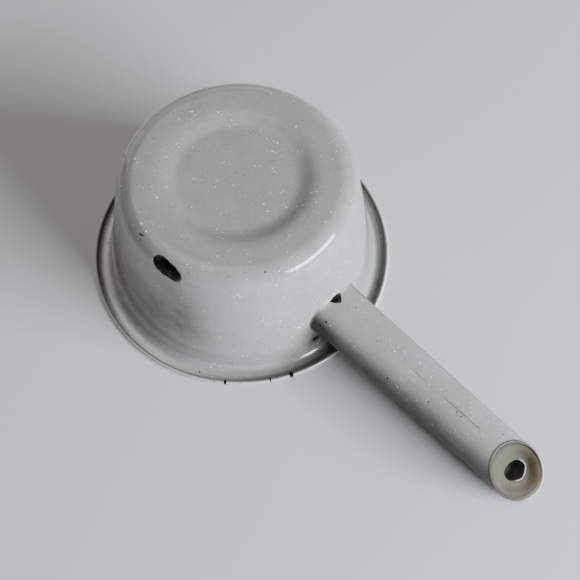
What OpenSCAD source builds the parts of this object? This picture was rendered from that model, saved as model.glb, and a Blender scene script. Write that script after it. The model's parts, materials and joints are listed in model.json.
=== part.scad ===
// Small enamelled-steel saucepan, standing upside down on its rim.
// Origin: centre of the mouth, on the plane of the rim. +Z runs up to the base of the pan,
// +X runs along the handle. Millimetres.

/* [Pan] */
// Diameter across the outside of the rolled rim
rim_d = 140; // [130:1:170]
// Height from the rim plane to the foot ring of the base
pan_h = 66; // [50:1:90]
// Diameter where the line of the wall meets the plane of the base
base_d = 103; // [96:1:118]
// Diameter where the line of the wall meets the plane of the rim
mouth_d = 125; // [110:1:126]
// Outside radius of the corner between base and wall
base_corner_r = 9; // [5:0.5:12]
// Thickness of the enamelled sheet
sheet_t = 0.8; // [0.6:0.05:1.2]

/* [Rim] */
// Outside radius of the hollow curve where the wall flares out into the lip
flare_r = 5; // [3:0.5:6]
// Clear space inside the rolled edge
curl_gap = 0.3; // [0.2:0.05:0.8]
// Angle that the edge is rolled through
curl_turn = 210; // [150:5:230]

/* [Base recess] */
// Outer diameter of the sloped step round the recessed disc
recess_d = 70; // [50:1:74]
// Width of the sloped step, measured along the radius
recess_step_w = 8.6; // [6:0.2:12]
// Depth of the recessed disc below the foot ring
recess_depth = 1.8; // [1:0.1:3]

/* [Handle] */
// Distance from the pan's axis to the centre of the handle's end
handle_reach = 165; // [130:1:200]
// Width of the oval root of the handle, at the wall
root_w = 27; // [22:0.5:32]
// Height of the oval root of the handle, at the wall
root_h = 19; // [15:0.5:24]
// Distance from the rim plane to the near edge of the root
root_drop = 11; // [8:0.5:20]
// Outside diameter of the handle at its far end
end_d = 24; // [20:0.5:29]
// Thickness of the rolled sheet of the handle
handle_t = 0.9; // [0.7:0.05:1.2]
// Angle of the slanted end, from square to the handle
end_cut = 45; // [20:1:50]
// Twist of the slanted end about the handle's own axis
end_twist = 14; // [-20:1:20]
// Gap between the tip of the handle and the surface that the rim stands on
tip_gap = 0.6; // [0:0.1:10]

/* [End disc] */
// Thickness of the disc that closes the end
disc_t = 0.9; // [0.7:0.05:1.2]
// Distance that the disc sits inside the slanted end
disc_inset = 0.8; // [0.4:0.1:2]
// Depth of the dish in the disc
dish_depth = 2; // [1:0.1:3]
// Radius where the dish starts
dish_r = 10; // [8:0.2:12]
// Diameter of the hanging hole
hang_hole_d = 9.5; // [6:0.5:11]
// Distance from the middle of the slanted end to the hole, towards the tip
hole_drop = 0.8; // [0:0.1:2]
// Gap round the disc, inside the handle
disc_clear = 0.08; // [0.05:0.01:0.2]

/* [Welds] */
// Size of the weld fillet round the root of the handle
weld_leg = 2.2; // [1.5:0.1:4]
// Width of the butt seam along the handle
seam_w = 0.5; // [0.3:0.05:1]
// Place of the seam round the handle, from the top of the handle towards -Y
seam_turn = 6; // [-30:1:30]

/* [Hidden] */

// Angle between the points of a rounded stretch of outline
arc_step = 7.5;
// Number of sides of the lofted handle
loft_sides = 72;
// Share of a slope that its two roundings take up
rounding_share = 0.8;
// Flat ring left round the hanging hole
hole_land = 1.2;
// Rounding between the dish and the flat parts of the disc
dish_round = 6;
// Reach of a trimming shape past what it trims
past = 60;

rim_r = rim_d / 2;
base_r = base_d / 2;
mouth_r = mouth_d / 2;
wall_rise = (mouth_r - base_r) / pan_h;
wall_cos = 1 / sqrt(1 + wall_rise * wall_rise);
curl_r = (sheet_t + curl_gap) / 2;
curl_centre_r = rim_r - curl_r - sheet_t / 2;

// Radius of the outside of the wall at height z.
function wall_r(z) = mouth_r - wall_rise * z;

// The handle's axis runs from the root on the wall to the middle of the slanted end.
end_r = end_d / 2;
root_z = root_drop + root_h / 2;
root_x = wall_r(root_z);
first_fall = (root_z - end_r - tip_gap) / (handle_reach - root_x);
end_z = tip_gap + end_r * (1 + tan(end_cut) * first_fall);
handle_fall = atan((root_z - end_z) / (handle_reach - root_x));
handle_len = (handle_reach - root_x) / cos(handle_fall);
// Past this point the handle is round and straight, so that the disc fits in it.
round_from = handle_len - end_r * tan(end_cut) - 2 * disc_t - dish_depth - disc_inset;

// ---- Outlines: a sheet of constant thickness that follows a rounded path ----

// A path point is [x, y, nx, ny], where n points to the left of the direction of travel.
function unit(v) = v / norm(v);
function left_of(v) = [-v[1], v[0]];
function xy(p) = [p[0], p[1]];
function station(p, n) = [p[0], p[1], n[0], n[1]];

// Points of an arc about c from angle a0 to a1.
function arc(c, r, a0, a1) =
    let (n = max(2, ceil(abs(a1 - a0) / arc_step)), side = a1 > a0 ? -1 : 1)
    [for (i = [0:n]) let (a = a0 + (a1 - a0) * i / n, d = [cos(a), sin(a)]) station(c + r * d, side * d)];

// The corner b between a and c, rounded with radius r.
function rounded(a, b, c, r) =
    let (u = unit(a - b), v = unit(c - b), half = acos(u * v) / 2,
         centre = b + unit(u + v) * r / sin(half),
         left = cross([b[0] - a[0], b[1] - a[1]], [c[0] - b[0], c[1] - b[1]]) > 0,
         p = b + u * r / tan(half) - centre,
         a0 = atan2(p[1], p[0]), sweep = 180 - 2 * half)
    arc(centre, r, a0, left ? a0 + sweep : a0 - sweep);

// A path through corners given as [x, y, rounding radius], with plain ends.
function rounded_path(k) =
    let (last = len(k) - 1)
    [station(xy(k[0]), left_of(unit(xy(k[1]) - xy(k[0])))),
     for (i = [1:last - 1]) each rounded(xy(k[i - 1]), xy(k[i]), xy(k[i + 1]), k[i][2]),
     station(xy(k[last]), left_of(unit(xy(k[last]) - xy(k[last - 1]))))];

// The path moved sideways by d, to its left where d is positive.
function beside(path, d) = [for (p = path) [p[0] + d * p[2], p[1] + d * p[3]]];
function reversed(v) = [for (i = [len(v) - 1:-1:0]) v[i]];
function sheet(path, t) = concat(beside(path, t / 2), reversed(beside(path, -t / 2)));

// ---- Pan ----

foot_z = pan_h - sheet_t / 2;
lip_z = sheet_t / 2;
mid_offset = sheet_t / (2 * wall_cos);
step_len = norm([recess_step_w, recess_depth]);
step_round = rounding_share * step_len / 2 / tan(atan(recess_depth / recess_step_w) / 2);

// Middle of the sheet: recessed disc, step, foot ring, corner, wall, flare and lip.
body_path = rounded_path([
    [0, foot_z - recess_depth],
    [recess_d / 2 - recess_step_w, foot_z - recess_depth, step_round],
    [recess_d / 2, foot_z, step_round],
    [wall_r(foot_z) - mid_offset, foot_z, base_corner_r - sheet_t / 2],
    [wall_r(lip_z) - mid_offset, lip_z, flare_r + sheet_t / 2],
    [curl_centre_r, lip_z]]);
curl_path = arc([curl_centre_r, lip_z + curl_r], curl_r, -90, curl_turn - 90);

module pan_body() {
    color("gainsboro")
    rotate_extrude()
    polygon(sheet(concat(body_path, curl_path), sheet_t));
}

// ---- Handle ----

// Places its children on the handle's axis: +Z towards the far end, +X up, +Y towards -Y.
module on_handle(s = 0) {
    translate([root_x, 0, root_z]) rotate([0, 90 + handle_fall, 0]) rotate(180)
        translate([0, 0, s]) children();
}

// Places its children on the slanted end, with +Z out of the handle.
module on_end() {
    on_handle(handle_len) rotate(end_twist) rotate([0, end_cut, 0]) children();
}

// The handle's section at distance s from the wall is an oval that becomes round.
function half_w(s) = root_w / 2 + (end_r - root_w / 2) * min(1, s / round_from);
function half_h(s) = root_h / 2 + (end_r - root_h / 2) * min(1, s / round_from);
// Point of that section at angle a from the top, moved outwards by grow.
function section(s, a, grow) = [(half_h(s) + grow) * cos(a), (half_w(s) + grow) * sin(a)];

// Distance along the handle at which the line through p, parallel to its axis, meets the wall.
function wall_s(p) =
    let (c = cos(handle_fall), d = -sin(handle_fall),
         x = root_x - p[0] * d, z = root_z + p[0] * c, w = wall_r(z),
         qa = c * c - pow(wall_rise * d, 2),
         qb = 2 * (x * c + w * wall_rise * d),
         qc = x * x + p[1] * p[1] - w * w)
    (sqrt(qb * qb - 4 * qa * qc) - qb) / (2 * qa);

// Distance along the handle at which that line meets the slanted end.
function end_s(p) = handle_len - tan(end_cut) * (p[0] * cos(end_twist) + p[1] * sin(end_twist));

// Points round the handle at the angles in turns: on the wall or off it, part way, and on the end.
function wall_ring(turns, grow, off = 0) = [for (a = turns)
    let (s = wall_s(section(0, a, grow)) + off, p = section(s, a, grow)) [p[0], p[1], wall_s(p) + off]];
function mid_ring(turns, grow) = [for (a = turns)
    let (p = section(round_from, a, grow)) [p[0], p[1], round_from]];
function end_ring(turns, grow) = [for (a = turns)
    let (p = section(handle_len, a, grow)) [p[0], p[1], end_s(p)]];

// A solid whose cut, at any turn, is the closed loop of the rings' points. The loop goes
// out along one face and back along the other. It is closed all round or has two cut ends.
module ring_solid(rings, closed) {
    n = len(rings[0]);
    m = len(rings);
    skin = [for (k = [0:m - 1], i = [0:closed ? n - 1 : n - 2])
        let (a = k * n, b = (k + 1) % m * n, j = (i + 1) % n)
        each [[a + i, b + i, b + j], [a + i, b + j, a + j]]];
    ends = closed ? [] : [for (k = [0:m / 2 - 2])
        let (a = k * n, b = a + n, c = (m - 2 - k) * n, d = c + n, e = n - 1)
        each [[a, d, c], [a, c, b], [a + e, c + e, d + e], [a + e, b + e, c + e]]];
    polyhedron([for (r = rings) each r], concat(skin, ends));
}

// The rolled sheet of the handle between two turns, from the wall to the slanted end.
module rolled_sheet(from, to) {
    n = ceil((to - from) / (360 / loft_sides));
    turns = [for (i = [0:n]) from + (to - from) * i / n];
    on_handle() ring_solid([
        wall_ring(turns, 0), mid_ring(turns, 0), end_ring(turns, 0),
        end_ring(turns, -handle_t), mid_ring(turns, -handle_t), wall_ring(turns, -handle_t)], false);
}

// Half of the angle that the seam takes up at the far end of the handle.
seam_half = asin(seam_w / 2 / end_r);

module handle_tube() {
    color("lightgray") rolled_sheet(seam_turn + seam_half, seam_turn + 360 - seam_half);
}

module seam_weld() {
    color("darkgray") rolled_sheet(seam_turn - seam_half, seam_turn + seam_half);
}

// The fillet of weld metal round the root. Its face is a hollow quarter circle.
module root_weld() {
    turns = [for (i = [0:loft_sides - 1]) 360 * i / loft_sides];
    face = [for (a = [90:-arc_step * 2:0]) weld_leg * [1 - cos(a), 1 - sin(a)]];
    color("silver")
    on_handle() ring_solid(concat([wall_ring(turns, 0)],
        reversed([for (f = face) wall_ring(turns, f[0], f[1])])), true);
}

// ---- End disc ----

module dished_plate() {
    low = -disc_inset - disc_t / 2 - dish_depth;
    high = low + dish_depth;
    land_r = hang_hole_d / 2 + hole_land;
    slope_half = norm([dish_r - land_r, dish_depth]) / 2;
    turn = atan(dish_depth / (dish_r - land_r));
    round_r = min(dish_round, rounding_share * slope_half / tan(turn / 2));
    path = rounded_path([[0, low], [land_r, low, round_r], [dish_r, high, round_r], [past, high]]);
    translate([-hole_drop, 0, 0]) rotate_extrude() polygon(sheet(path, disc_t));
}

module handle_end_disc() {
    fit_r = (end_r - handle_t) * cos(180 / loft_sides) - disc_clear;
    color("tan")
    difference() {
        intersection() {
            on_handle() cylinder(r = fit_r, h = handle_len + past, $fn = loft_sides);
            on_end() dished_plate();
        }
        on_end() translate([-hole_drop, 0, -past / 2])
            cylinder(d = hang_hole_d, h = past, $fn = loft_sides);
    }
}

pan_body();
handle_tube();
handle_end_disc();
root_weld();
seam_weld();
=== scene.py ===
"""Small enamelled saucepan, upside down on its rim: the visible pieces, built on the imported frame.

Sizes are in millimetres until a mesh is made. +Z runs from the mouth up to the base of the pan,
+X runs along the handle, and the origin is the centre of the mouth on the plane of the rim.
"""

import json
from math import acos, asin, atan, atan2, ceil, cos, hypot, pi, radians, sin, tan

import bpy
import numpy as np
from mathutils import Matrix, Vector

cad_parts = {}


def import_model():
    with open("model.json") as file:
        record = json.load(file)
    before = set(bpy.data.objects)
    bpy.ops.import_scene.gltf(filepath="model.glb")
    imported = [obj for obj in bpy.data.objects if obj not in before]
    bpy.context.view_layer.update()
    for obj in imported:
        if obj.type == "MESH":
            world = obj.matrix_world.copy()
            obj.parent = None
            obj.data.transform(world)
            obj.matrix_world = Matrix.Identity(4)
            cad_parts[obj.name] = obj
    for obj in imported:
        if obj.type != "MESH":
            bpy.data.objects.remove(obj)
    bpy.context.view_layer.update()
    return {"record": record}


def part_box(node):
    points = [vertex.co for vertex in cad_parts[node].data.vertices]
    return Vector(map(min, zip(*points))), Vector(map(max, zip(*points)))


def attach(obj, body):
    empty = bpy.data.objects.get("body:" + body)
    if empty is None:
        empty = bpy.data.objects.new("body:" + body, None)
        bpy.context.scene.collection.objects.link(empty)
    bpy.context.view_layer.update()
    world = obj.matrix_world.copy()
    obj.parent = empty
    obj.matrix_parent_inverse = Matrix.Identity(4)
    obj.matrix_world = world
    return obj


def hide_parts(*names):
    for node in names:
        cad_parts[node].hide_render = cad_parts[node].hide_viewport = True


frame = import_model()

MM = 0.001


# ---------------------------------------------------------------- sizes

def mount(name):
    """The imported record's mount of that name."""
    return next(m for m in frame["record"]["mounts"] if m["name"] == name)


# The pan. The two shares are the rounding of the recess's step, as a share of the longest that
# fits, and how much of it the step's inner corner has.
PAN_HIGH = np.array(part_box("pan_body")[1]) / MM
RIM_R = PAN_HIGH[0]
PAN_H = PAN_HIGH[2]
SHEET_T = 0.8
BASE_R = 51.5
MOUTH_R = 62.5
CORNER_R = 9.0
FLARE_R = 5.0
CURL_GAP = 0.3
CURL_TURN = radians(210)
RECESS_R = 35.0
RECESS_STEP_W = 8.6
RECESS_DEPTH = 1.8
ROUNDING_SHARE = 0.8
CRISP_SHARE = 0.4

# The handle, which is oval at its root, round at its slanted end and stands clear of the floor.
HANDLE_REACH = 165.0
ROOT_W = 27.0
ROOT_H = 19.0
ROOT_DROP = 11.0
END_R = 12.0
HANDLE_T = 0.9
END_CUT = radians(45)
END_TWIST = radians(14)
TIP_GAP = 0.6
SEAM_TURN = radians(6)
SEAM_W = 0.5

# The disc in the handle's end, the hanging hole in it, and the weld at the handle's root.
DISC_T = 0.9
DISC_INSET = 0.8
DISH_DEPTH = 2.0
DISC_CLEAR = 0.08
HOLE_R = mount("hang_hole")["dims"]["r_mm"]
HOLE_LAND = 1.2
HOLE_DROP = 0.8
WELD_LEG = 2.2

WALL_RISE = (MOUTH_R - BASE_R) / PAN_H
WALL_COS = 1 / hypot(1, WALL_RISE)
WALL_LEAN = atan(WALL_RISE)
CURL_R = (SHEET_T + CURL_GAP) / 2
CURL_CENTRE_R = RIM_R - CURL_R - SHEET_T / 2
LIP_Z = SHEET_T / 2
FOOT_Z = PAN_H - SHEET_T / 2


def wall_r(z):
    """Radius of the outside of the wall at height z: a straight line from the mouth to the base."""
    return MOUTH_R - WALL_RISE * z


ROOT_Z = ROOT_DROP + ROOT_H / 2
ROOT_X = wall_r(ROOT_Z)
FIRST_FALL = (ROOT_Z - END_R - TIP_GAP) / (HANDLE_REACH - ROOT_X)
END_Z = TIP_GAP + END_R * (1 + tan(END_CUT) * FIRST_FALL)
HANDLE_FALL = atan((ROOT_Z - END_Z) / (HANDLE_REACH - ROOT_X))
HANDLE_LEN = (HANDLE_REACH - ROOT_X) / cos(HANDLE_FALL)
ROUND_FROM = HANDLE_LEN - END_R * tan(END_CUT) - 2 * DISC_T - DISH_DEPTH - DISC_INSET

# Axes of the handle: up across it, sideways towards -Y, and along it to the far end.
ROOT_POINT = np.array([ROOT_X, 0, ROOT_Z])
HANDLE_AXES = np.array([
    [sin(HANDLE_FALL), 0, cos(HANDLE_FALL)],
    [0, -1, 0],
    [cos(HANDLE_FALL), 0, -sin(HANDLE_FALL)]])


# ---------------------------------------------------------------- numbers and outlines

def smooth(low, high, x):
    """0 below low and 1 above high, with a smooth rise between them: 3t^2 - 2t^3."""
    t = np.clip((x - low) / (high - low), 0, 1)
    return t * t * (3 - 2 * t)


def unit(v):
    """v divided by its length."""
    return v / np.linalg.norm(v, axis=-1, keepdims=True)


def bump(a, centre, width):
    """A bell of the angle a about centre: exp(-(d / width)^2), where d is the shorter way round."""
    d = np.arctan2(np.sin(a - centre), np.cos(a - centre))
    return np.exp(-(d / width) ** 2)


def ripple(seed, x, y, waves, low, high):
    """A gentle random field, mostly between -1 and 1, of sine waves in random directions.

    Each wave is sin(kx x + ky y + phase), with its wave number drawn between low and high, and
    their sum is divided by the root of how many there are.
    """
    draw = np.random.default_rng(seed)
    total = np.zeros(np.broadcast(x, y).shape)
    for _ in range(waves):
        k, way, phase = draw.uniform(low, high), draw.uniform(0, 2 * pi), draw.uniform(0, 2 * pi)
        total += np.sin(k * (np.cos(way) * x + np.sin(way) * y) + phase)
    return total / np.sqrt(waves)


def arc(centre, radius, start, sweep, step):
    """Stations [x, y, nx, ny] along an arc, where n points to the left of the way it is travelled."""
    a = np.linspace(start, start + sweep, max(2, ceil(abs(sweep) / step)) + 1)
    d = np.stack([np.cos(a), np.sin(a)], 1)
    return np.hstack([np.asarray(centre) + radius * d, d if sweep < 0 else -d])


def rounded_path(corners, step):
    """Stations of a path through corners [x, y, rounding radius], with plain ends.

    A corner between two lines that meet at angle 2h is an arc whose centre lies on the bisector,
    at radius / sin(h) from the corner.
    """
    p = [np.array(c[:2], float) for c in corners]
    first, last = unit(p[1] - p[0]), unit(p[-1] - p[-2])
    found = [[[*p[0], -first[1], first[0]]]]
    for a, b, c, corner in zip(p, p[1:], p[2:], corners[1:]):
        u, v, r = unit(a - b), unit(c - b), corner[2]
        half = acos(u @ v) / 2
        centre = b + unit(u + v) * r / sin(half)
        begin = b + u * r / tan(half) - centre
        left = (b - a)[0] * (c - b)[1] - (b - a)[1] * (c - b)[0] > 0
        sweep = (pi - 2 * half) * (1 if left else -1)
        found.append(arc(centre, r, atan2(begin[1], begin[0]), sweep, step))
    found.append([[*p[-1], -last[1], last[0]]])
    return np.vstack(found)


def refined(stations, step_at):
    """The same stations with more between them, so that no gap is longer than step_at(x, y)."""
    found = [stations[:1]]
    for a, b in zip(stations, stations[1:]):
        parts = ceil(np.linalg.norm(b[:2] - a[:2]) / step_at(*(a + b)[:2] / 2) - 1e-6)
        t = np.linspace(0, 1, max(1, parts) + 1)[1:, None]
        found.append(a + (b - a) * t)
    return np.vstack(found)


def beside(stations, d):
    """The path moved sideways by d, to its left where d is positive."""
    return stations[:, :2] + d * stations[:, 2:]


# ---------------------------------------------------------------- meshes

SHARP_ANGLE = radians(40)


def grid_faces(rows, columns, wrap_rows=False, wrap_columns=False):
    """Quads of a grid of points in row-major order, with its last row or column joined to the first."""
    i = np.arange(rows if wrap_rows else rows - 1)[:, None]
    j = np.arange(columns if wrap_columns else columns - 1)[None, :]
    i2, j2 = (i + 1) % rows, (j + 1) % columns
    quads = [i * columns + j, i2 * columns + j, i2 * columns + j2, i * columns + j2]
    return np.stack([np.broadcast_to(q, (i.size, j.size)) for q in quads], -1).reshape(-1, 4)


def piece(name, points, faces, body="root", fields=None):
    """A smooth-shaded mesh object from points in mm and a list of arrays of faces.

    fields are values at the points, kept as named attributes. The piece rides on the body.
    """
    loops = np.concatenate([f.ravel() for f in faces]).astype(np.int32)
    sizes = np.concatenate([np.full(len(f), f.shape[1]) for f in faces])
    mesh = bpy.data.meshes.new(name)
    mesh.vertices.add(len(points))
    mesh.vertices.foreach_set("co", (np.asarray(points) * MM).astype(np.float32).ravel())
    mesh.loops.add(len(loops))
    mesh.loops.foreach_set("vertex_index", loops)
    mesh.polygons.add(len(sizes))
    mesh.polygons.foreach_set("loop_start", (np.cumsum(sizes) - sizes).astype(np.int32))
    mesh.polygons.foreach_set("use_smooth", np.ones(len(sizes), bool))
    for field, values in (fields or {}).items():
        layer = mesh.attributes.new(field, "FLOAT", "POINT")
        layer.data.foreach_set("value", np.asarray(values, np.float32).ravel())
    mesh.update(calc_edges=True)
    mesh.validate()
    mesh.set_sharp_from_angle(angle=SHARP_ANGLE)
    made = bpy.data.objects.new(name, mesh)
    bpy.context.scene.collection.objects.link(made)
    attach(made, body)
    return made


# ---------------------------------------------------------------- lines of the handle

def section(s, a, grow):
    """Point of the handle's oval section at distance s and turn a from the top, grown by grow.

    Its two half axes run in a straight line from the root's to the round end's, and stay there.
    """
    t = np.minimum(1, s / ROUND_FROM)
    return ((ROOT_H / 2 + (END_R - ROOT_H / 2) * t + grow) * np.cos(a),
            (ROOT_W / 2 + (END_R - ROOT_W / 2) * t + grow) * np.sin(a))


def wall_s(up, side):
    """Distance along the handle at which the line (up, side) meets the cone of the wall.

    It is the larger root of the quadratic that puts the line's point on the cone.
    """
    c, d = cos(HANDLE_FALL), -sin(HANDLE_FALL)
    x, z = ROOT_X - up * d, ROOT_Z + up * c
    w = MOUTH_R - WALL_RISE * z
    qa = c * c - (WALL_RISE * d) ** 2
    qb = 2 * (x * c + w * WALL_RISE * d)
    qc = x * x + side * side - w * w
    return (np.sqrt(qb * qb - 4 * qa * qc) - qb) / (2 * qa)


def end_s(up, side):
    """Distance along the handle at which the line (up, side) meets the plane of the slanted end."""
    return HANDLE_LEN - tan(END_CUT) * (up * cos(END_TWIST) + side * sin(END_TWIST))


def placed(up, side, s):
    """Points in the part's frame from places across and along the handle."""
    return ROOT_POINT + np.stack([up, side, s], -1) @ HANDLE_AXES


def root_of(a, grow):
    """Distance along the handle of the wall at turn a, on the surface grown by grow.

    The section is taken at the root, and then once more where that line meets the wall.
    """
    first = wall_s(*section(0.0, a, grow))
    return wall_s(*section(first, a, grow))


# ---------------------------------------------------------------- damage to the enamel

# Power in the outline of a patch: 2 makes it an oval, and more makes it fuller.
FULLNESS = 2.8
# Sizes between which a chip's pit and its bare metal come in, where 1 is the outline.
PIT_EDGE = (1.08, 0.92)
BARE_EDGE = (1.08, 0.94)
PIT_DEPTH = 0.3
NICK_HALF_LENGTH = 1.6
CORNER_Z = PAN_H - CORNER_R
CORNER_CENTRE_R = wall_r(CORNER_Z) - CORNER_R / WALL_COS


def outward(azimuth, lean):
    """Three axes at a place round the pan: level, rising and out of the surface that leans by lean."""
    level = np.array([-sin(azimuth), cos(azimuth), 0])
    out = np.array([cos(lean) * cos(azimuth), cos(lean) * sin(azimuth), sin(lean)])
    return level, np.cross(out, level), out


def patch(at, axes, half, turn=0.0, ragged=0.15, reach=2.5, corners=0.0):
    """A patch of damage of those half sizes, turned in its surface, whose outline strays by ragged.

    It is a stretched round, drawn towards a triangle by the share corners.
    """
    level, rising, out = axes
    return {
        "at": at, "out": out, "half": half, "ragged": ragged, "reach": reach, "corners": corners,
        "along": cos(turn) * level + sin(turn) * rising,
        "across": cos(turn) * rising - sin(turn) * level}


def wall_patch(azimuth, z, half, **more):
    """A patch on the straight wall, at that azimuth in degrees and that height."""
    a = radians(azimuth)
    r = wall_r(z)
    return patch(np.array([r * cos(a), r * sin(a), z]), outward(a, WALL_LEAN), half, **more)


def corner_patch(azimuth, lean, half, **more):
    """A patch on the rounded corner of the base, where the surface leans by lean degrees."""
    a = radians(azimuth)
    axes = outward(a, radians(lean))
    centre = np.array([CORNER_CENTRE_R * cos(a), CORNER_CENTRE_R * sin(a), CORNER_Z])
    return patch(centre + CORNER_R * axes[2], axes, half, **more)


def lip_patch(azimuth, r, half):
    """A patch on the flat lip, at that azimuth in degrees and that radius."""
    a = radians(azimuth)
    return patch(np.array([r * cos(a), r * sin(a), SHEET_T]), outward(a, pi / 2), half)


def rim_patch(azimuth, half):
    """A nick across the top of the rolled rim."""
    a = radians(azimuth)
    at = np.array([CURL_CENTRE_R * cos(a), CURL_CENTRE_R * sin(a), 2 * CURL_R + SHEET_T / 2])
    return patch(at, outward(a, pi / 2), (half, NICK_HALF_LENGTH), ragged=0.1)


def handle_patch(turn_from_top, s, half, **more):
    """A patch on the handle, at that turn in degrees from its top and that distance from the wall."""
    a = radians(turn_from_top)
    up, side = section(s, a, 0.0)
    along = HANDLE_AXES[2]
    out = cos(a) * HANDLE_AXES[0] + sin(a) * HANDLE_AXES[1]
    return patch(placed(up, side, s), (along, np.cross(out, along), out), half, **more)


# The three-cornered chip at the top of the root: its flat side lies along the wall.
ROOT_CHIP = patch(
    ROOT_POINT + np.array([0.55, 0.4, ROOT_H / 2 + 0.3]),
    (np.array([-1, 0, 0]), np.array([0, -1, 0]), np.array([0, 0, 1])),
    (1.55, 2.3), ragged=0.3, reach=3, corners=0.85)


def patch_depth(points, chips):
    """How deep in a chip each point is: 1 inside a chip's outline, with a soft step to 0 outside.

    With x and y as shares of the half sizes, the outline is where (|x|^p + |y|^p)^(1/p) passes 1.
    """
    depth = np.zeros(len(points))
    for chip in chips:
        d = points - chip["at"]
        x, y = d @ chip["along"] / chip["half"][0], d @ chip["across"] / chip["half"][1]
        size = (np.abs(x) ** FULLNESS + np.abs(y) ** FULLNESS) ** (1 / FULLNESS)
        near = np.abs(d @ chip["out"]) < chip["reach"]
        depth = np.maximum(depth, smooth(*PIT_EDGE, size) * near)
    return depth


def haze(points, at, spread):
    """A soft round stain about a point: exp(-(distance / spread)^2)."""
    return np.exp(-np.sum((points - at) ** 2, -1) / spread ** 2)


def wall_hazes(points, hazes):
    """The sum of hazes on the wall, each given by its azimuth, height, spread and strength."""
    return sum(strength * haze(points, wall_patch(azimuth, height, (1, 1))["at"], spread)
               for azimuth, height, spread, strength in hazes)


# ---------------------------------------------------------------- pan

# Steps of the outline: round its corners, its curl and its cut edge, and along its lines. The
# outside has its finest steps at the corner of the base and on the lip.
PAN_ARC_STEP = radians(5)
CURL_ARC_STEP = 3 * PAN_ARC_STEP
CUT_ARC_STEP = pi / 6
FINE_STEP = 0.6
OUTSIDE_STEP = 1.4
INSIDE_STEP = 3.0
FINE_CORNER_R = 40
FINE_CORNER_Z = 53
FINE_LIP_R = 63
# Steps round the pan, of which some lie close together across the big chip.
PAN_TURNS = 400
CHIP_TURNS = 70
CHIP_SPAN = radians(24)
BIG_CHIP_TURN = -79.5
# How far the sheet strays from its round on the average, and at most.
STRAY = 0.16
MOST_STRAY = 0.5
PAN_CHIPS = [corner_patch(BIG_CHIP_TURN, 27, (7.3, 3.8), turn=radians(-13), ragged=0.5, reach=4)]
PAN_SPOTS = [
    lip_patch(-62, 66, (0.4, 0.35)), wall_patch(-11.7, 9, (1.5, 1.3), turn=0.3, ragged=0.7),
    corner_patch(-100, 58, (1.3, 0.3), turn=0.4, ragged=0.3), corner_patch(-98.5, 47, (0.45, 0.25)),
    corner_patch(-31, 62, (0.4, 0.3)),
    rim_patch(-51.4, 0.55), rim_patch(-34.4, 0.3), rim_patch(-26.3, 0.95)]
# Height below which the fields of the lip apply. Their radii keep them off the wall.
LIP_TOP = 4

# Brown tones: a faint darkening over the base, and a band in its step that is strongest at one turn.
BASE_BROWN = 0.1
STEP_BROWN_TURN = radians(14)
STEP_BROWN_IN = 4.0
STEP_BROWN_WIDTH = 2.6
STEP_BROWN_MEAN = 0.2
STEP_BROWN_SWING = 0.3
# Hazes on the wall: brown stains with painted shade, then painted shade; azimuth, height, spread and
# strength.
WALL_STAINS_AND_SHADE = [
    (-69, 38, 8, 0.6), (-67, 24, 9, 0.7), (-76, 50, 6, 0.5), (-85, 28, 15, 0.85), (-108, 30, 18, 0.75),
    (-140, 32, 20, 0.5), (-14, 6, 6, 0.9), (-24, 3, 5, 0.6), (-15.5, 17, 5, 0.5), (-12, 9, 2.5, 0.6)]
WALL_SHADE = [(-84, 26, 13, 0.33), (-100, 30, 16, 0.30), (-128, 32, 20, 0.30), (-14, 12, 5, 0.2)]
# Painted shade and dark reflection on the lip, in two bands: the radii between which each comes in
# or goes out, its strength, and where round the pan it lies or is missing. The fades are how much
# weaker a band is on the handle's side.
DARKEST = 0.85
ROLL_BAND_SHADE = 0.78
ROLL_BAND_SHADE_IN = (65.9, 67.3)
UNSHADED_TURN = radians(-76)
UNSHADED_WIDTH = radians(24)
FLARE_SHADE = 0.85
FLARE_SHADE_IN = (62.7, 65.0)
FLARE_SHADE_OUT = (67.5, 66.5)
HANDLE_SIDE_TURN = radians(20)
HANDLE_SIDE_WIDTH = radians(50)
SIDE_FADE = 0.6
ROLL_SIDE_FADE = 0.8
# By turn of the curl: the top of the roll has painted shadow towards its cut, and outside that a painted
# highlight over pale worn enamel.
ROLL_SHADE = 0.8
ROLL_SHADE_IN = (radians(60), radians(82))
ROLL_BRIGHT_IN = (radians(-75), radians(-30))
ROLL_BRIGHT_OUT = (radians(88), radians(50))
# Pale bands: a painted reflection of light on the flare, and painted light on the far corner of the
# base, whose heights are counted down from the base.
SHEEN_R = 64.7
SHEEN_SHIFT = 1.2
SHEEN_SHIFT_TURN = radians(-88)
SHEEN_SHIFT_WIDTH = radians(20)
SHEEN_WIDTH = 1.7
SHEEN_TURN = radians(-142)
SHEEN_SPAN = radians(48)
CORNER_PALE = 0.45
CORNER_PALE_LOW = (11, 6)
CORNER_PALE_HIGH = (0, 1.5)
CORNER_PALE_FROM_R = RECESS_R + 5
CORNER_PALE_TURN = radians(170)
CORNER_PALE_SPAN = radians(65)


def outside_step(r, z):
    """The longest step of the outside of the sheet at radius r and height z."""
    at_corner = r > FINE_CORNER_R and z > FINE_CORNER_Z
    return FINE_STEP if at_corner or r > FINE_LIP_R else OUTSIDE_STEP


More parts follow.
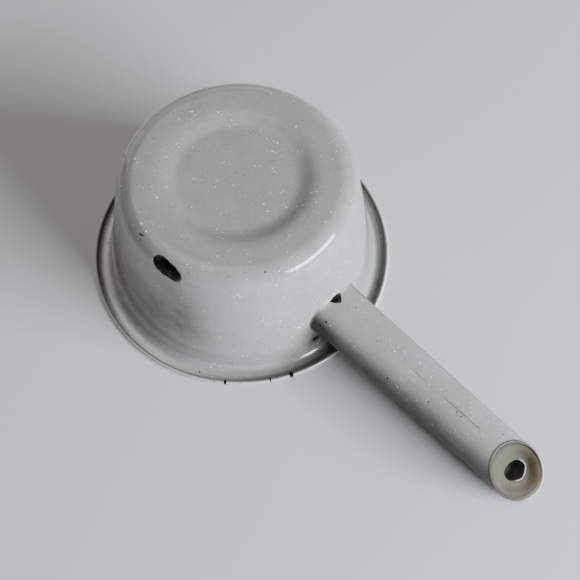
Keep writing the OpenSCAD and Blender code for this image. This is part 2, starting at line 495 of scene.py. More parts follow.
def pan_outline():
    """The whole outline of the sheet in half section, from the axis outside to the axis inside.

    The middle of the sheet runs through rounded corners and ends in the curl, which is one arc.
    The outline is that path moved outwards by half the thickness, half a circle round the cut
    edge, and the path moved inwards. It gives stations of points and outward normals, and how
    many of them lie on the outside.
    """
    step_len = hypot(RECESS_STEP_W, RECESS_DEPTH)
    step_round = ROUNDING_SHARE * step_len / 2 / tan(atan(RECESS_DEPTH / RECESS_STEP_W) / 2)
    offset = SHEET_T / (2 * WALL_COS)
    body = rounded_path([
        (0, FOOT_Z - RECESS_DEPTH),
        (RECESS_R - RECESS_STEP_W, FOOT_Z - RECESS_DEPTH, CRISP_SHARE * step_round),
        (RECESS_R, FOOT_Z, step_round),
        (wall_r(FOOT_Z) - offset, FOOT_Z, CORNER_R - SHEET_T / 2),
        (wall_r(LIP_Z) - offset, LIP_Z, FLARE_R + SHEET_T / 2),
        (CURL_CENTRE_R, LIP_Z)], PAN_ARC_STEP)
    curl = arc((CURL_CENTRE_R, LIP_Z + CURL_R), CURL_R, -pi / 2, CURL_TURN, CURL_ARC_STEP)
    path = np.vstack([body, curl[1:]])
    fine = refined(path, outside_step)
    coarse = refined(path, lambda r, z: INSIDE_STEP)
    end = fine[-1]
    start = atan2(end[3], end[2])
    edge = arc(end[:2], SHEET_T / 2, start, -pi, CUT_ARC_STEP)[1:-1]
    outside = np.hstack([beside(fine, SHEET_T / 2), fine[:, 2:]])
    inside = np.hstack([beside(coarse, -SHEET_T / 2), -coarse[:, 2:]])[::-1]
    return np.vstack([outside, edge, inside]), len(outside)


def pan_stain_and_shade(points):
    """Brown: a faint darkening over the base, a band in its step, and brown stains on the wall partly
    painted shade.

    The step's band is a bell of the radius, times a cosine of the angle about its mean.
    """
    x, y, z = np.moveaxis(points, -1, 0)
    r, a = np.hypot(x, y), np.arctan2(y, x) - STEP_BROWN_TURN
    base = BASE_BROWN * smooth(PAN_H - 6, PAN_H - 2, z)
    across = np.exp(-((r - RECESS_R + STEP_BROWN_IN) / STEP_BROWN_WIDTH) ** 2) * (z > FOOT_Z - 3)
    step = across * np.clip(STEP_BROWN_MEAN + STEP_BROWN_SWING * np.cos(a), 0, 0.5)
    return np.clip(base + step + wall_hazes(points, WALL_STAINS_AND_SHADE), 0, 1)


def handle_side(a):
    """1 on the handle's side of the rim and 0 on the far one: the square root of a bell."""
    return bump(a, HANDLE_SIDE_TURN, HANDLE_SIDE_WIDTH) ** 0.5


def lip_shade(nominal_r, a):
    """How dark the lip is painted, by nominal radius and angle: two bands of painted shade round it.

    One lies beside the rolled edge and fades where the lip is left light, and the other lies on the
    flare on the handle's side. Both stand for shade and the reflection of dark surroundings.
    """
    side = handle_side(a)
    unshaded = bump(a, UNSHADED_TURN, UNSHADED_WIDTH)
    # Painted shade and dark reflection: a band beside the roll and one on the flare.
    beside_roll = ROLL_BAND_SHADE * smooth(*ROLL_BAND_SHADE_IN, nominal_r) * (1 - unshaded) * (1 - SIDE_FADE * side)
    on_flare = FLARE_SHADE * side * smooth(*FLARE_SHADE_IN, nominal_r) * smooth(*FLARE_SHADE_OUT, nominal_r)
    return (beside_roll + on_flare).clip(0, DARKEST)


def roll_shade(around_curl, a):
    """Painted shadow on the top of the rolled edge towards its cut, less on the handle's side."""
    return ROLL_SHADE * smooth(*ROLL_SHADE_IN, around_curl) * (1 - ROLL_SIDE_FADE * handle_side(a))


def roll_bright(around_curl, a):
    """How bright the outer side of the rolled edge is painted: a highlight over partly worn enamel, most
    on the handle's side.
    """
    worn = smooth(*ROLL_BRIGHT_IN, around_curl) * smooth(*ROLL_BRIGHT_OUT, around_curl)
    return worn * (0.35 + 0.65 * bump(a, HANDLE_SIDE_TURN, HANDLE_SIDE_WIDTH))


def lip_pale(nominal_r, a):
    """Painted reflection of light on the flare, on the side away from the handle.

    It is a bell of the radius about a middle that shifts with the angle, times a bell of the angle.
    """
    middle = SHEEN_R + SHEEN_SHIFT * bump(a, SHEEN_SHIFT_TURN, SHEEN_SHIFT_WIDTH)
    return np.exp(-((nominal_r - middle) / SHEEN_WIDTH) ** 2) * bump(a, SHEEN_TURN, SHEEN_SPAN)


def corner_pale(r, z, a):
    """Painted light on the corner of the base, on its far side: a band of its height."""
    low, full = CORNER_PALE_LOW
    top, near_top = CORNER_PALE_HIGH
    band = smooth(PAN_H - low, PAN_H - full, z) * smooth(PAN_H - top, PAN_H - near_top, z)
    return CORNER_PALE * (band * (r > CORNER_PALE_FROM_R)) * bump(a, CORNER_PALE_TURN, CORNER_PALE_SPAN)


def pan_turns():
    """Angles round the pan, closer together where the wall has its big chip."""
    middle = radians(BIG_CHIP_TURN)
    near = np.linspace(middle - CHIP_SPAN / 2, middle + CHIP_SPAN / 2, CHIP_TURNS, endpoint=False)
    rest = np.linspace(near[0] + CHIP_SPAN, near[0] + 2 * pi, PAN_TURNS - CHIP_TURNS, endpoint=False)
    return np.concatenate([near, rest])


def out_of_true(r, z, a):
    """How far the sheet strays inwards from its round, in mm.

    It is a slow wave of the angle, kept off the handle's joint and growing towards the rim.
    """
    wave = STRAY * (1 + ripple(5, 1.6 * np.cos(a), 1.6 * np.sin(a), 6, 0.5, 2.2))
    off_joint = smooth(0.3, 0.8, np.abs(np.arctan2(np.sin(a), np.cos(a))))
    return np.clip(wave, 0, MOST_STRAY) * off_joint * smooth(66, 2, z) * smooth(20, 55, r)


def pan_finish(points, nominal, z, a, outer):
    """The fields of the pan's enamel at its points, of which the first rows up to outer are outside.

    The roll's visible top belongs to the rows past outer, as does all of the inside of the pan.
    """
    # Brown tones, and stains on the wall that are partly painted shade.
    stain_and_shade = pan_stain_and_shade(points)
    # Painted shade on the lip and the wall.
    shade = np.clip(lip_shade(nominal, a) * (z < LIP_TOP) + wall_hazes(points, WALL_SHADE), 0, DARKEST)
    # Painted reflection on the flare and painted light on the base's far corner.
    pale = lip_pale(nominal, a) * (z < LIP_TOP) + corner_pale(nominal, z, a)
    around_curl = np.arctan2(z - LIP_Z - CURL_R, nominal - CURL_CENTRE_R)
    on_roll = nominal > CURL_CENTRE_R - 1
    # Painted highlight over partly worn enamel on the roll's outer side.
    bead = roll_bright(around_curl, a) * on_roll
    stain_and_shade[outer:] = 0
    # Painted shadow on the roll's top, towards its cut.
    shade[outer:] = (roll_shade(around_curl, a) * on_roll)[outer:]
    bead[:outer] = pale[:outer]
    return {"shade": shade, "stain_and_shade": stain_and_shade, "bead": bead}


def pan_body():
    """The drawn shell: its outline turned about the axis, r(cos a, sin a), z.

    The sheet is a little out of true, and chips are pits in its outside. The first and last points
    of the outline lie on the axis, where fans of triangles close the shell.
    """
    outline, outer = pan_outline()
    r, z, nr, nz = (outline[:, k, None] for k in range(4))
    a = pan_turns()[None, :]
    nominal = r + 0 * a
    r = r - out_of_true(r, z, a)
    z = z + np.zeros_like(a)
    points = np.stack([r * np.cos(a), r * np.sin(a), z], -1)
    normals = np.stack([nr * np.cos(a), nr * np.sin(a), nz + np.zeros_like(a)], -1)
    fields = pan_finish(points, nominal, z, a, outer)
    pit = patch_depth(points.reshape(-1, 3), PAN_CHIPS).reshape(nominal.shape)
    pit[outer:] = 0
    points = points - PIT_DEPTH * pit[..., None] * normals
    rows, columns = pit.shape
    body = points[1:-1].reshape(-1, 3)
    count = len(body)
    poles = points[[0, -1], 0]
    ring = np.arange(columns)
    top = np.stack([np.full(columns, count), ring, (ring + 1) % columns], 1)
    under = (rows - 3) * columns
    bottom = np.stack([np.full(columns, count + 1), under + (ring + 1) % columns, under + ring], 1)
    made = piece("pan_shell", np.vstack([body, poles]),
                 [grid_faces(rows - 2, columns, wrap_columns=True), top, bottom],
                 fields={key: np.append(values[1:-1].ravel(), [0, 0]) for key, values in fields.items()})
    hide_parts("pan_body")
    return made


# ---------------------------------------------------------------- handle

# Points round the strip's cut edges, rows round the sheet and the seam, and columns along them.
# The last columns round off the slanted end.
EDGE_POINTS = 7
SHEET_ROWS = 300
SEAM_ROWS = 15
HANDLE_COLUMNS = 130
END_COLUMNS = 4
EDGE_ROUND = 0.3

HAIRLINE_FROM = 62.0
HAIRLINE_TO = 84.0
HAIRLINE_FADE_IN = 3
HAIRLINE_FADE_OUT = 1.5
HAIRLINE_DEPTH = 0.12
HAIRLINE_HALF = 0.13
# Dents: turn from the top in degrees, distance along the handle and spread.
DENTS = [(-1, 49, 3.0), (20, 97, 2.5)]
DENT_DEPTH = 0.22
DEEPEST_DENT = 0.45
UNEVEN = 0.06
HANDLE_SPOTS = [
    handle_patch(10.7, 71.7, (0.35, 0.3)), handle_patch(12, 74.3, (0.28, 0.25)),
    handle_patch(-14, 8.7, (0.45, 0.4), ragged=0.8), handle_patch(47, 3.4, (0.5, 0.42)),
    handle_patch(63, 2.2, (0.4, 0.35)), handle_patch(9, 26, (0.35, 0.25)),
    handle_patch(33, 60, (0.35, 0.3)), handle_patch(52, 40, (0.4, 0.3)),
    handle_patch(-20, 92, (0.3, 0.25))]

# Windows of painted shade and of brown that is partly painted shade: where each comes in and goes
# out, by the turn from its top in radians, and along it in mm from the wall or from the slanted end.
UNDERSIDE_SHADE_IN = (0.62, 1.55)
UNDERSIDE_SHADE_OUT = (5.6, 4.6)
BROWN_IN = (0.5, 1.3)
BROWN_OUT = (5.6, 4.6)
ROOT_SHADE_IN = (0.55, 1.25)
ROOT_SHADE_OUT = (5.0, 4.0)
ROOT_SHADE_ALONG = (20, 2)
CUT_EDGE_ALONG = (0.55, 0.35)
TIP_TURN = pi + END_TWIST + 0.4
TIP_IN = (0.35, 0.9)


def sheet_loop(first, last, around):
    """Turns and depths round a strip of sheet: out along its face, down its edge, and back inside.

    The depth is 0 on the outer face and 1 on the inner one.
    """
    turns = np.linspace(first, last, around)
    depth = np.linspace(0, 1, EDGE_POINTS + 2)[1:-1]
    loop = [turns, np.full(EDGE_POINTS, last), turns[::-1], np.full(EDGE_POINTS, first)]
    depths = [np.zeros(around), depth, np.ones(around), depth[::-1]]
    return np.concatenate(loop), np.concatenate(depths)


def handle_shade_and_stain(a, s, depth, from_end):
    """Fields of the handle: painted shade below and at the root, a brown side partly painted shade, a
    painted end.

    They are smooth windows of the turn a, the distance s from the wall and the distance from the
    end. The cut end is browned like the disc, with painted shadow over its edge and a painted highlight
    on the outer side of its tip.
    """
    outer = depth < 0.5
    # Painted shade on the underside and in the crease at the root.
    below = smooth(*UNDERSIDE_SHADE_IN, a) * smooth(*UNDERSIDE_SHADE_OUT, a)
    near_root = smooth(*ROOT_SHADE_ALONG, s) * smooth(*ROOT_SHADE_IN, a) * smooth(*ROOT_SHADE_OUT, a)
    cut = smooth(*CUT_EDGE_ALONG, from_end)
    tip = smooth(*TIP_IN, np.cos(a - TIP_TURN))
    face = np.clip(0.85 * below + 0.45 * near_root, 0, 0.92) * outer
    # Painted shadow on the cut edge, with a painted highlight at the tip.
    edge = 0.95 * (1 - tip) + 0.55 * tip * (1 - outer)
    # A brown side, partly painted shade.
    brown = 0.6 * smooth(*BROWN_IN, a) * smooth(*BROWN_OUT, a)
    return {
        "shade": face * (1 - cut) + edge * cut,
        "stain_and_shade": brown * (1 - cut) + 0.9 * cut * (1 - tip),
        "bead": 0.8 * cut * tip * outer}


def strip_caps(around, loop, columns):
    """Faces that close a strip at the end and at the wall: quads across it, and one at each side.

    The loop's points run along the outer face, down one edge, back inside and up the other edge.
    """
    face = np.arange(around - 1)
    inside = 2 * around + EDGE_POINTS - 1 - face
    across = np.stack([face, face + 1, inside - 1, inside], 1)
    down = np.arange(around - 1, around + EDGE_POINTS + 1)[None, :]
    up = np.append(np.arange(2 * around + EDGE_POINTS - 1, loop), 0)[None, :]
    at_end = [cap * columns + columns - 1 for cap in (across, down, up)]
    at_wall = [cap[:, ::-1] * columns for cap in (across, down, up)]
    return at_end + at_wall


def rolled_strip(name, first, last, around, sink, crack=None):
    """A strip of the handle's rolled sheet from the wall to the slanted end, as a grid.

    Rows follow a closed loop round the strip's cut. Columns run along the handle, at even shares
    of the way from the wall to the end, and the last few draw in towards the middle of the sheet
    to round off the end. sink(turn, s) is how far the outer face is pressed in.
    """
    turns, depth = sheet_loop(first, last, around)
    share = np.append(np.linspace(0, 1, HANDLE_COLUMNS), np.ones(END_COLUMNS))
    bend = np.append(np.zeros(HANDLE_COLUMNS), np.linspace(0, pi / 2, END_COLUMNS + 1)[1:])
    back = EDGE_ROUND * (1 - np.sin(bend))
    squeeze = EDGE_ROUND * (1 - np.cos(bend)) / HANDLE_T
    a = turns[:, None]
    d = squeeze[None, :] + depth[:, None] * (1 - 2 * squeeze[None, :])
    root = root_of(a, -HANDLE_T * d)
    up, side = section(np.full_like(d, HANDLE_LEN), a, -HANDLE_T * d)
    end = end_s(up, side) - back[None, :]
    s = root + (end - root) * share[None, :]
    press = sink(a, s) * (1 - depth[:, None])
    up, side = section(s, a, -HANDLE_T * d - press)
    points = placed(up, side, s)
    colour_fields = handle_shade_and_stain(a, s, depth[:, None], np.maximum(end + back[None, :] - s, 0))
    if crack:
        open_part = np.clip(crack(a, s) / HAIRLINE_DEPTH, 0, 1) * (depth[:, None] < 0.5)
        colour_fields["shade"] = np.maximum(colour_fields["shade"], open_part)
    fields = {key: np.broadcast_to(values, d.shape).ravel() for key, values in colour_fields.items()}
    faces = [grid_faces(*d.shape, wrap_rows=True)] + strip_caps(around, *d.shape)
    return piece(name, points.reshape(-1, 3), faces, fields=fields)


def hairline(a, s):
    """Depth of the open crack along the seam: a narrow bell across it, with faded ends along it."""
    along = (smooth(HAIRLINE_FROM, HAIRLINE_FROM + HAIRLINE_FADE_IN, s)
             * smooth(HAIRLINE_TO, HAIRLINE_TO - HAIRLINE_FADE_OUT, s))
    return HAIRLINE_DEPTH * along * np.exp(-((a - SEAM_TURN) * END_R / HAIRLINE_HALF) ** 2)


def dents(a, s):
    """How far the handle's sheet is pressed in: a slow ripple, and dents that are round bells."""
    total = UNEVEN * (1 + ripple(21, 6 * a, 0.07 * s, 7, 0.4, 1.4))
    for turn, along, spread in DENTS:
        away = ((a - radians(turn)) * END_R) ** 2 + (s - along) ** 2
        total = total + DENT_DEPTH * np.exp(-away / spread ** 2)
    return np.clip(total, 0, DEEPEST_DENT) * smooth(3, 14, s)


SEAM_HALF_TURN = asin(SEAM_W / 2 / END_R)


def handle_tube():
    """The rolled sheet of the handle, all but the slot of its butt seam."""
    made = rolled_strip("handle_sheet", SEAM_TURN + SEAM_HALF_TURN, SEAM_TURN + 2 * pi - SEAM_HALF_TURN,
                        SHEET_ROWS, dents)
    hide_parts("handle_tube")
    return made


def seam_weld():
    """The filler of the butt seam, which has sunk along its open stretch."""
    made = rolled_strip("seam_filler", SEAM_TURN - SEAM_HALF_TURN, SEAM_TURN + SEAM_HALF_TURN,
                        SEAM_ROWS, lambda a, s: dents(a, s) + hairline(a, s), hairline)
    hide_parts("seam_weld")
    return made


# ---------------------------------------------------------------- root weld

WELD_TURNS = 360
FILLET_POINTS = 15
LEG_SWAY = 0.15
# The leg shrinks by this share between these turns from the top, down the handle's sides.
LEG_SHRINK = 0.68
LEG_SHRINK_IN = (0.4, 1.1)
# Points of the fillet's outline before and after its face. Each is how far out from the handle it
# lies and how far along from the wall, both as a share of the leg and a distance.
WALL_FOOT = [(1, 1.0, 0, -0.12), (1, 0.5, 0, -0.03)]
HANDLE_FOOT = [(0, -0.03, 1, 0.5), (0, -0.12, 1, 1.0), (0, -0.4, 1, 0.6)]
WELD_BACK = [(0, -0.4, 0, -0.4), (1, 0.8, 0, -0.4)]


def fillet_outline():
    """The fillet's outline: the foot on the wall, a hollow quarter circle, and then the back."""
    bend = np.linspace(0, pi / 2, FILLET_POINTS)
    face = np.stack([1 - np.sin(bend), 0 * bend, 1 - np.cos(bend), 0 * bend], 1)
    return np.vstack([WALL_FOOT, face, HANDLE_FOOT, WELD_BACK])


def root_weld():
    """The fillet between handle and wall, under a pool of enamel, as a closed ring of outlines.

    Its face is a hollow quarter circle from the wall to the handle, with feet that thin out to
    nothing, and its leg swells and shrinks by ripples of the turn. Behind the face the outline
    runs back along the handle to the wall, and out along the wall.
    """
    a = np.linspace(0, 2 * pi, WELD_TURNS, endpoint=False)[None, :]
    from_top = np.minimum(a, 2 * pi - a)
    leg = WELD_LEG * (1 + LEG_SWAY * ripple(31, 2 * np.cos(a), 2 * np.sin(a), 6, 0.6, 2.4))
    leg = leg * (1 - LEG_SHRINK * smooth(*LEG_SHRINK_IN, from_top))
    out_share, out, along_share, along = (column[:, None] for column in fillet_outline().T)
    grow = out_share * leg + out
    s = root_of(a, grow) + (along_share * leg + along)
    up, side = section(s, a, grow)
    points = placed(up, side, s)
    towards_wall = smooth(leg + 0.4, 0.2 * leg, grow)
    # Painted shade on the fillet's lower sides, deepest in the crease against the wall.
    shadow_paint = smooth(0.5, 1.1, a) * smooth(5.2, 4.2, a) * (0.35 + 0.65 * towards_wall)
    # A brown side, partly painted shade.
    stain_and_shade = smooth(0.4, 1.0, a) * smooth(5.6, 4.6, a) + 0 * grow
    made = piece("root_fillet", points.reshape(-1, 3),
                 [grid_faces(*grow.shape, wrap_rows=True, wrap_columns=True)[:, ::-1]],
                 fields={"shade": 0.8 * shadow_paint.ravel(), "stain_and_shade": 0.7 * stain_and_shade.ravel()})
    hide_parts("root_weld")
    return made


# ---------------------------------------------------------------- end disc

DISC_TURNS = 256
DISC_RINGS = 40
ROUND_RINGS = 7
DISC_ROUND = 0.25
HOLE_ROUND = 0.3
# Where the disc's flat margin begins, as a share of its reach.
MARGIN_SHARE = 0.94
# Wear of the hole's edge: turn and width in degrees, and how far out it moves.
HOLE_NICKS = [(180, 25, 1.4), (-130, 30, 0.8), (45, 35, 0.3), (-25, 40, -0.3)]
HOLE_SWAY = 0.08
# A painted highlight, partly pale enamel, on the hole's rim, and where round it lies.
HOLE_BRIGHT = 0.5
HOLE_BRIGHT_TURN = radians(-135)
# Where the painted shadow on the disc's edge is deepest.
DISC_SHADOW_TURN = radians(-45)
# How fast the disc browns down its slant and across it: brown colour with painted shade of the dish.
BROWN_DOWN = 0.85
BROWN_ACROSS = 0.5


def end_frame():
    """The slanted end: its middle, and its axes up the slant, across it and out of the handle."""
    middle = placed(0.0, 0.0, HANDLE_LEN)
    up, side, along = HANDLE_AXES
    lean = cos(END_TWIST) * up + sin(END_TWIST) * side
    out = cos(END_CUT) * along + sin(END_CUT) * lean
    rise = cos(END_CUT) * lean - sin(END_CUT) * along
    return middle, rise, np.cross(out, rise), out


def end_disc():
    """The dished disc with its hanging hole, as rings from the hole to the inside of the handle.

    Each ring is a share of the way from the hole to the oval in which the handle's round inside
    cuts the plane, and the dish rises by 3t^2 - 2t^3 of the way from a flat land round the hole to
    the margin. The hole's outline is a circle with bells of the angle added where it is worn.
    """
    middle, rise, across, out = end_frame()
    fit = END_R - HANDLE_T - DISC_CLEAR
    low = -DISC_INSET - DISH_DEPTH
    a = np.linspace(0, 2 * pi, DISC_TURNS, endpoint=False)[None, :]
    reach = fit / np.sqrt(np.cos(a) ** 2 * cos(END_CUT) ** 2 + np.sin(a) ** 2)
    share = np.linspace(0, 1, DISC_RINGS)[:, None]
    worn = sum(deep * bump(a, radians(turn), radians(width)) for turn, width, deep in HOLE_NICKS)
    hole = HOLE_R + worn + HOLE_SWAY * ripple(41, 3 * np.cos(a), 3 * np.sin(a), 6, 0.5, 2.5)
    bend = np.linspace(0, pi, ROUND_RINGS + 2)[1:-1, None]
    face = hole + HOLE_ROUND + (reach - DISC_ROUND - hole - HOLE_ROUND) * share
    flat = np.zeros_like(face)
    r = np.vstack([face, reach - DISC_ROUND * (1 - np.sin(bend)),
                   face[::-1], hole + HOLE_ROUND * (1 - np.sin(bend))])
    depth = np.vstack([flat, (1 - np.cos(bend)) / 2 + 0 * a, flat + 1, (1 + np.cos(bend)) / 2 + 0 * a])
    way_out = (r - hole - HOLE_LAND) / (MARGIN_SHARE * reach - hole - HOLE_LAND)
    height = low + DISH_DEPTH * smooth(0, 1, way_out) - depth * DISC_T
    x, y = r * np.cos(a) - HOLE_DROP * smooth(reach, hole, r), r * np.sin(a)
    points = middle + x[..., None] * rise + y[..., None] * across + height[..., None] * out
    # Brown that is partly painted shade: the side of the dish turned from the light is darker.
    brown = np.clip(0.5 - (BROWN_DOWN * x + BROWN_ACROSS * y) / END_R, 0, 1)
    # Painted shadow round the disc's edge, under the tube's rim.
    shadowed_side = smooth(0.0, 0.9, np.cos(a - DISC_SHADOW_TURN))
    shadow_paint = 0.35 * smooth(0.9, 1.0, r / reach) + 0.65 * smooth(0.8, 1.0, r / reach) * shadowed_side
    # A painted highlight, partly pale enamel, on one side of the hole's rim.
    bright_side = smooth(0.1, 0.7, np.cos(a - HOLE_BRIGHT_TURN))
    lip = HOLE_BRIGHT * smooth(hole + 0.7, hole + 0.25, r) * bright_side * (depth < 0.5)
    made = piece("end_disc", points.reshape(-1, 3),
                 [grid_faces(*r.shape, wrap_rows=True, wrap_columns=True)],
                 fields={"shade": 0.8 * shadow_paint.ravel(), "stain_and_shade": brown.ravel(), "bead": lip.ravel()})
    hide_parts("handle_end_disc")
    return made


# ---------------------------------------------------------------- materials

# Speck patterns of other seeds are shifted by this, and a speck's edge is this wide in mm.
SPECK_SHIFT = (0.31, 0.17, 0.23)
SPECK_EDGE = 0.12
# Noise is mostly within a third of its whole range, so this brings its swing up to 1.
FULL_SWING = 3.0

GROUND = (0.29, 0.288, 0.27, 1)
GRIME = (0.20, 0.185, 0.155, 1)
FLECK_WHITE = (0.93, 0.95, 0.94, 1)
SPECK_BLACK = (0.03, 0.03, 0.03, 1)
# Brown for stains and for painted shade.
STAIN_AND_SHADE_BROWN = (0.115, 0.088, 0.066, 1)
# Dark for painted shade, and for the open crack.
PAINTED_SHADE_DARK = (0.034, 0.026, 0.021, 1)
# Pale for painted light and highlights, and for worn enamel on the roll.
PALE_LIGHT_AND_WEAR = (0.80, 0.80, 0.78, 1)
IRON_DARK = (0.010, 0.011, 0.009, 1)
IRON_PALE = (0.085, 0.085, 0.065, 1)
DISC_GROUND = (0.086, 0.080, 0.058, 1)
DISC_DIRT = (0.060, 0.047, 0.030, 1)
DISC_BROWN = (0.036, 0.023, 0.011, 1)
CLOUD_GAIN = 1.1
PEEL_STRENGTH = 0.2
PEEL_DEPTH = 0.12


class Wire:
    """A node's output that Python arithmetic can use: each operator adds its Math node."""

    def __init__(self, graph, socket):
        self.graph = graph
        self.socket = socket

    def maths(self, operation, *values):
        return self.graph.node("ShaderNodeMath", {"operation": operation}, dict(enumerate(values)))

    def __add__(self, other):
        return self.maths("ADD", self, other)

    def __sub__(self, other):
        return self.maths("SUBTRACT", self, other)

    def __rsub__(self, other):
        return self.maths("SUBTRACT", other, self)

    def __mul__(self, other):
        return self.maths("MULTIPLY", self, other)

    def __truediv__(self, other):
        return self.maths("DIVIDE", self, other)

    def __pow__(self, other):
        return self.maths("POWER", self, other)

    def max(self, other):
        return self.maths("MAXIMUM", self, other)

    def min(self, other):
        return self.maths("MINIMUM", self, other)

    def between(self, low, high):
        """0 at low, 1 at high and a smooth rise between; low may be the larger."""
        return self.graph.node("ShaderNodeMapRange", {"interpolation_type": "SMOOTHSTEP"},
                               {"Value": self, "From Min": low, "From Max": high})

    __radd__ = __add__
    __rmul__ = __mul__


class Finish:
    """A material with one Principled shader, whose node tree is built by calls."""

    def __init__(self, name, **uniform):
        self.material = bpy.data.materials.new(name)
        self.material.use_nodes = True
        self.tree = self.material.node_tree
        self.tree.nodes.clear()
        self.shader = self.tree.nodes.new("ShaderNodeBsdfPrincipled")
        output = self.tree.nodes.new("ShaderNodeOutputMaterial")
        self.tree.links.new(self.shader.outputs["BSDF"], output.inputs["Surface"])
        for key, value in uniform.items():
            self.shader.inputs[key.replace("_", " ")].default_value = value

    def node(self, kind, settings=None, inputs=None, output=0):
        """One output of a new node, after its settings are set and its inputs set or linked."""
        made = self.tree.nodes.new(kind)
        for key, value in (settings or {}).items():
            setattr(made, key, value)
        for key, value in (inputs or {}).items():
            self.put(made.inputs[key], value)
        return Wire(self, made.outputs[output])

    def put(self, socket, value):
        if isinstance(value, Wire):
            self.tree.links.new(value.socket, socket)
        else:
            socket.default_value = value

    def feed(self, key, value):
        self.put(self.shader.inputs[key], value)

    def mix(self, share, a, b):
        """Colour a where share is 0 and colour b where it is 1."""
        return self.node("ShaderNodeMix", {"data_type": "RGBA"}, {0: share, 6: a, 7: b}, 2)

    def vector(self, operation, *values, output=0):
        inputs = dict(enumerate(values))
        return self.node("ShaderNodeVectorMath", {"operation": operation}, inputs, output)

    def field(self, name):
        return self.node("ShaderNodeAttribute", {"attribute_name": name}, output="Fac")

    def place(self):
        return self.node("ShaderNodeTexCoord", output="Object")

    def noise(self, size, detail=2.0, rough=0.5, output="Fac"):
        """Noise between 0 and 1, with features of about size in mm."""
        inputs = {"Vector": self.place(), "Scale": 1 / (size * MM), "Detail": detail, "Roughness": rough}
        return self.node("ShaderNodeTexNoise", None, inputs, output)

    def specks(self, spacing, smallest, largest, share, seed):
        """Round specks: in each cell of about spacing mm, a dot of random size round its point.

        The cell's random colour gives the dot's size, and decides whether it has one at all.
        """
        shifted = self.vector("ADD", self.place(), tuple(way * seed for way in SPECK_SHIFT))
        cell = {"Vector": shifted, "Scale": 1 / (spacing * MM)}
        distance = self.node("ShaderNodeTexVoronoi", None, cell, "Distance") * spacing
        draw = self.node("ShaderNodeSeparateColor", None, {
            "Color": self.node("ShaderNodeTexVoronoi", None, cell, "Color")}, "Red")
        size = (draw - (1 - share)) / share
        radius = size * (largest - smallest) + smallest
        dot = (radius - distance).between(0.0, SPECK_EDGE)
        return dot * size.between(0.0, 0.01)


def damage(f, spots):
    """How bare the metal is, as a shader value: 1 inside any patch's outline, which noise moves about.

    In each patch's own axes, x and y as shares of its half sizes, the outline is where
    (|x|^p + |y|^p)^(1/p), blended with the largest of x and -x/2 +- 0.866 y, passes 1.
    """
    sway = f.vector("SUBTRACT", f.noise(1.6, 3.0, output="Color"), (0.5, 0.5, 0.5))
    total = None
    for spot in spots:
        stray = (FULL_SWING * spot["ragged"] * MM,) * 3
        offset = f.vector("SUBTRACT", f.vector("MULTIPLY_ADD", sway, stray, f.place()), spot["at"] * MM)
        x, y, z = (f.vector("DOT_PRODUCT", offset, axis / (size * MM), output="Value")
                   for axis, size in ((spot["along"], spot["half"][0]), (spot["across"], spot["half"][1]),
                                      (spot["out"], spot["reach"])))
        size = ((x * x) ** (FULLNESS / 2) + (y * y) ** (FULLNESS / 2)) ** (1 / FULLNESS)
        if spot["corners"]:
            triangle = x.max(x * -0.5 + y * 0.866).max(x * -0.5 - y * 0.866)
            size = triangle * spot["corners"] + size * (1 - spot["corners"])
        inside = size.between(*BARE_EDGE) * (z * z).between(1.0, 0.9)
        total = inside if total is None else total.max(inside)
    return total


def speckled(f, colour, flecked):
    """The colour with white flecks of three sizes and black specks of two, and the flecks' mask.

    A cloudy noise crowds the flecks, and the large ones most.
    """
    clusters = f.noise(13, 3.0).between(0.36, 0.6)
    big = f.specks(4.2, 0.22, 0.55, 0.45, 1) * clusters
    white = f.specks(1.6, 0.14, 0.38, 0.4, 4) * (0.3 + clusters * 0.7)
    fine = f.specks(0.8, 0.08, 0.22, 0.6, 2) * (0.35 + clusters * 0.3)
    flecks = big.max(white * 0.9).max(fine)
    colour = f.mix(flecks * flecked, colour, FLECK_WHITE)
    black = f.specks(3.4, 0.14, 0.42, 0.25, 3).max(f.specks(1.7, 0.08, 0.2, 0.2, 6) * 0.7)
    return f.mix(black * 0.85, colour, SPECK_BLACK), flecks


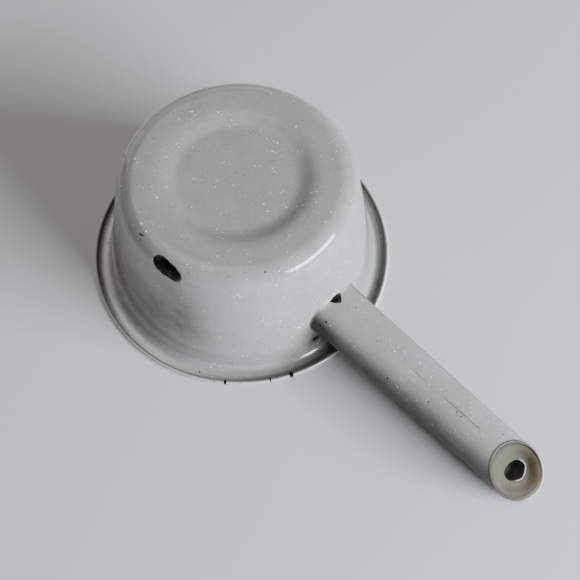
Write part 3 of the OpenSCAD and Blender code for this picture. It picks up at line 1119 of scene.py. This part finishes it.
def enamel(name, ground, dirt, dirt_amount, roughness, spots=(), brown=STAIN_AND_SHADE_BROWN, flecked=1.0,
           gloss=0.5):
    """Glossy speckled enamel, as layers that are each mixed over the last by a mask.

    They are a clouded ground, grime, flecks and specks, then the piece's fields broken up by noise:
    brown partly painted shade, painted shade, pale painted light and wear, and bare dark iron in the
    spots.
    """
    f = Finish(name, IOR=1.5, Specular_IOR_Level=gloss)
    cloud = f.noise(9, 4.0, 0.6)
    broad = f.noise(38, 2.0)
    colour = f.mix(cloud.between(0.3, 0.7), ground, tuple(c * CLOUD_GAIN for c in ground[:3]) + (1,))
    colour = f.mix(broad.between(0.5, 0.75) * dirt_amount, colour, dirt)
    colour, flecks = speckled(f, colour, flecked)
    # Brown stains, partly painted shade.
    colour = f.mix(f.field("stain_and_shade") * (f.noise(5, 4.0) * 0.9 + 0.35).min(1.0), colour, brown)
    # Painted shade, and the dark of the open crack.
    colour = f.mix(f.field("shade") * (f.noise(5, 3.0) * 0.3 + 0.85), colour, PAINTED_SHADE_DARK)
    # Pale painted light and highlights, with some wear.
    colour = f.mix(f.field("bead") * f.noise(4, 3.0).between(0.15, 0.5), colour, PALE_LIGHT_AND_WEAR)
    rough = (f.noise(6, 3.0) - 0.5) * 0.06 + roughness + f.field("shade") * 0.35
    peel = f.noise(2.6, 2.0) * 0.5 + flecks * 0.2
    if spots:
        bare = damage(f, spots)
        colour = f.mix(bare, colour, f.mix(f.noise(3.0, 3.0).between(0.5, 0.7), IRON_DARK, IRON_PALE))
        rough = rough + bare * 0.45
        peel = peel + f.noise(0.35, 2.0) * bare * 1.5 - bare * 1.5
        f.feed("Metallic", bare)
    f.feed("Base Color", colour)
    f.feed("Roughness", rough)
    f.feed("Normal", f.node("ShaderNodeBump", None, {
        "Strength": PEEL_STRENGTH, "Distance": PEEL_DEPTH * MM, "Height": peel}))
    return f.material


def paint(made, material):
    """Gives the piece its one material."""
    made.data.materials.append(material)


# ---------------------------------------------------------------- camera, floor and light

# The camera's place is in radii of the rim, and its tilt is how far it looks down from level.
CAMERA_FOCAL = 72.84
SENSOR_WIDTH = 36
CAMERA_TILT = 1.0970
CAMERA_TURN = radians(44)
CAMERA_AT = (0.324, -3.892, 6.995)

# Lights: azimuth and elevation in degrees, distance and size in m, power in W, and colour.
LIGHTS = {
    "window": (-30, 23, 1.3, (0.95, 0.34), 58, (0.84, 0.93, 1.0)),
    "ceiling": (160, 72, 1.5, (1.0, 1.0), 4.5, (1.0, 0.96, 0.90)),
    "back_wall": (112, 22, 1.6, (1.6, 0.8), 6, (1.0, 0.97, 0.93)),
    "left_wall": (172, 26, 1.6, (1.5, 1.0), 1.0, (1.0, 0.97, 0.93))}
WORLD_COLOUR = (0.9, 0.93, 1.0, 1)
WORLD_STRENGTH = 0.10

FLOOR_R = 2000.0
FLOOR_RINGS = 20
FLOOR_TURNS = 64
FLOOR_ROUGHNESS = 0.75
FLOOR_DULL = (0.55, 0.55, 0.54, 1)
FLOOR_PALE = (0.58, 0.58, 0.57, 1)


def camera():
    """The camera, at its place for a handle along +X: its own frame turned by CAMERA_TURN about Z."""
    data = bpy.data.cameras.new("camera")
    data.lens = CAMERA_FOCAL
    data.sensor_width = SENSOR_WIDTH
    made = bpy.data.objects.new("camera", data)
    turn = Matrix.Rotation(CAMERA_TURN, 4, "Z")
    tilt = Matrix.Rotation(pi / 2 - CAMERA_TILT, 4, "X")
    made.matrix_world = turn @ Matrix.Translation(Vector(CAMERA_AT) * RIM_R * MM) @ tilt
    bpy.context.scene.collection.objects.link(made)
    bpy.context.scene.camera = made


def soft_light(name, azimuth, elevation, distance, size, power, colour):
    """A rectangular light that faces the pan, with its width level.

    Azimuth 0 is the camera's right and 90 is away from the camera.
    """
    data = bpy.data.lights.new(name, "AREA")
    data.shape = "RECTANGLE"
    data.size, data.size_y = size
    data.energy = power
    data.color = colour
    made = bpy.data.objects.new(name, data)
    a, e = radians(azimuth) + CAMERA_TURN, radians(elevation)
    way = Vector((cos(a) * cos(e), sin(a) * cos(e), sin(e)))
    made.location = way * distance
    made.rotation_euler = way.to_track_quat("Z", "Y").to_euler()
    bpy.context.scene.collection.objects.link(made)


def floor():
    """A plain pale floor: a round of rings about a middle point, r(cos a, sin a)."""
    r = np.linspace(0, FLOOR_R, FLOOR_RINGS + 1)[1:, None]
    a = np.linspace(0, 2 * pi, FLOOR_TURNS, endpoint=False)[None, :]
    rings = np.stack([r * np.cos(a), r * np.sin(a), 0 * r * a], -1).reshape(-1, 3)
    ring = np.arange(FLOOR_TURNS)
    middle = np.stack([np.full(FLOOR_TURNS, len(rings)), ring, (ring + 1) % FLOOR_TURNS], 1)
    made = piece("floor", np.vstack([rings, [[0, 0, 0]]]),
                 [grid_faces(FLOOR_RINGS, FLOOR_TURNS, wrap_columns=True), middle])
    f = Finish("floor_paint", Roughness=FLOOR_ROUGHNESS)
    f.feed("Base Color", f.mix(f.noise(300, 2.0), FLOOR_DULL, FLOOR_PALE))
    paint(made, f.material)


def world():
    """A dim even light from all round."""
    made = bpy.data.worlds.new("studio")
    made.use_nodes = True
    background = made.node_tree.nodes["Background"]
    background.inputs["Color"].default_value = WORLD_COLOUR
    background.inputs["Strength"].default_value = WORLD_STRENGTH
    bpy.context.scene.world = made


camera()
floor()
world()
for light, settings in LIGHTS.items():
    soft_light(light, *settings)

paint(pan_body(), enamel("speckled_enamel", GROUND, GRIME, 0.2, 0.1, PAN_CHIPS + PAN_SPOTS + [ROOT_CHIP]))
handle_enamel = enamel("handle_enamel", GROUND, GRIME, 0.3, 0.14, HANDLE_SPOTS + [ROOT_CHIP], gloss=0.3)
for made in (handle_tube(), seam_weld(), root_weld()):
    paint(made, handle_enamel)
paint(end_disc(), enamel("worn_enamel", DISC_GROUND, DISC_DIRT, 0.5, 0.5,
                         brown=DISC_BROWN, flecked=0.12, gloss=0.1))
